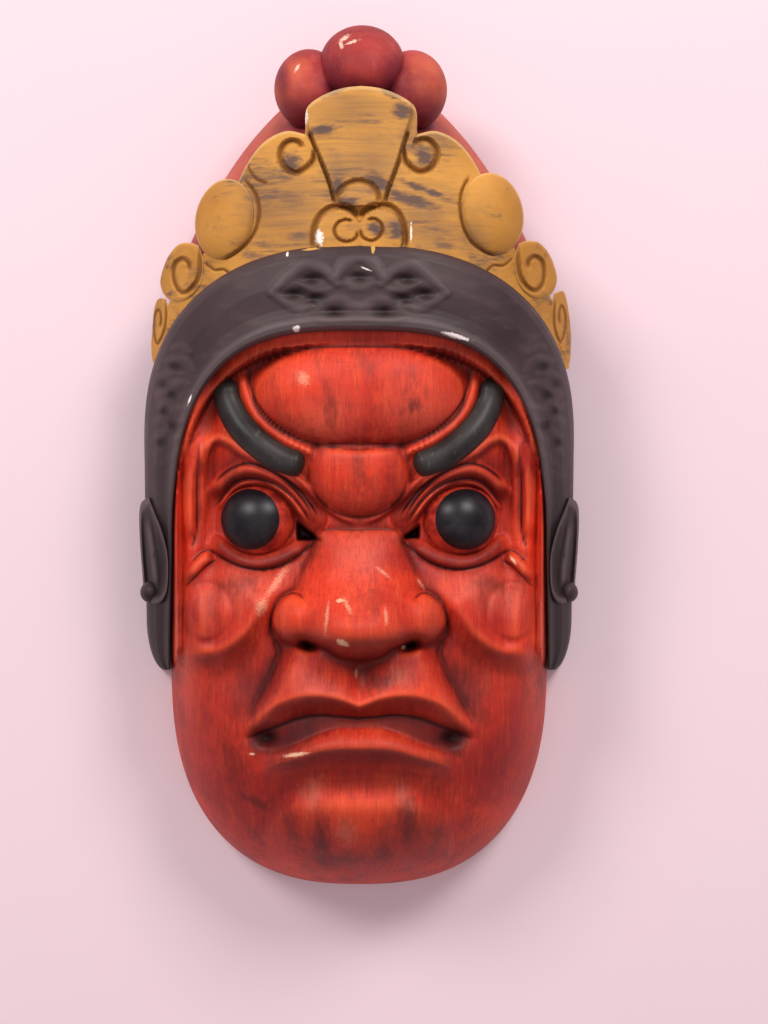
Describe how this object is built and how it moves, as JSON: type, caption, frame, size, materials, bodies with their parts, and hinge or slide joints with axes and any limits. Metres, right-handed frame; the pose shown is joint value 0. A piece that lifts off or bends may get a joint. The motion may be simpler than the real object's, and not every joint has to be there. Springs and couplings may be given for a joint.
{
  "type": "carved cham mask",
  "caption": "Carved and painted wooden dance mask: wrathful red face, black head band, gilt scroll crown and red topknots, hollow behind for the wearer's face.",
  "frame": {"origin": "centre of the bounding box at the plane of the back rim, on which the mask lies", "axes": "+Z out of the face, +Y towards the topknots, +X to the viewer's right when looking at the face"},
  "size_m": [0.2184, 0.4185, 0.119],
  "materials": {
    "red_paint": "worn satin vermilion paint over carved wood",
    "black_paint": "satin charcoal paint over carved wood",
    "gold_paint": "rubbed ochre-gold paint over carved wood",
    "bare_wood": "bare gouged wood on the inside and the rim"
  },
  "bodies": {
    "root": {"mask": "red_paint"}
  },
  "joints": []
}
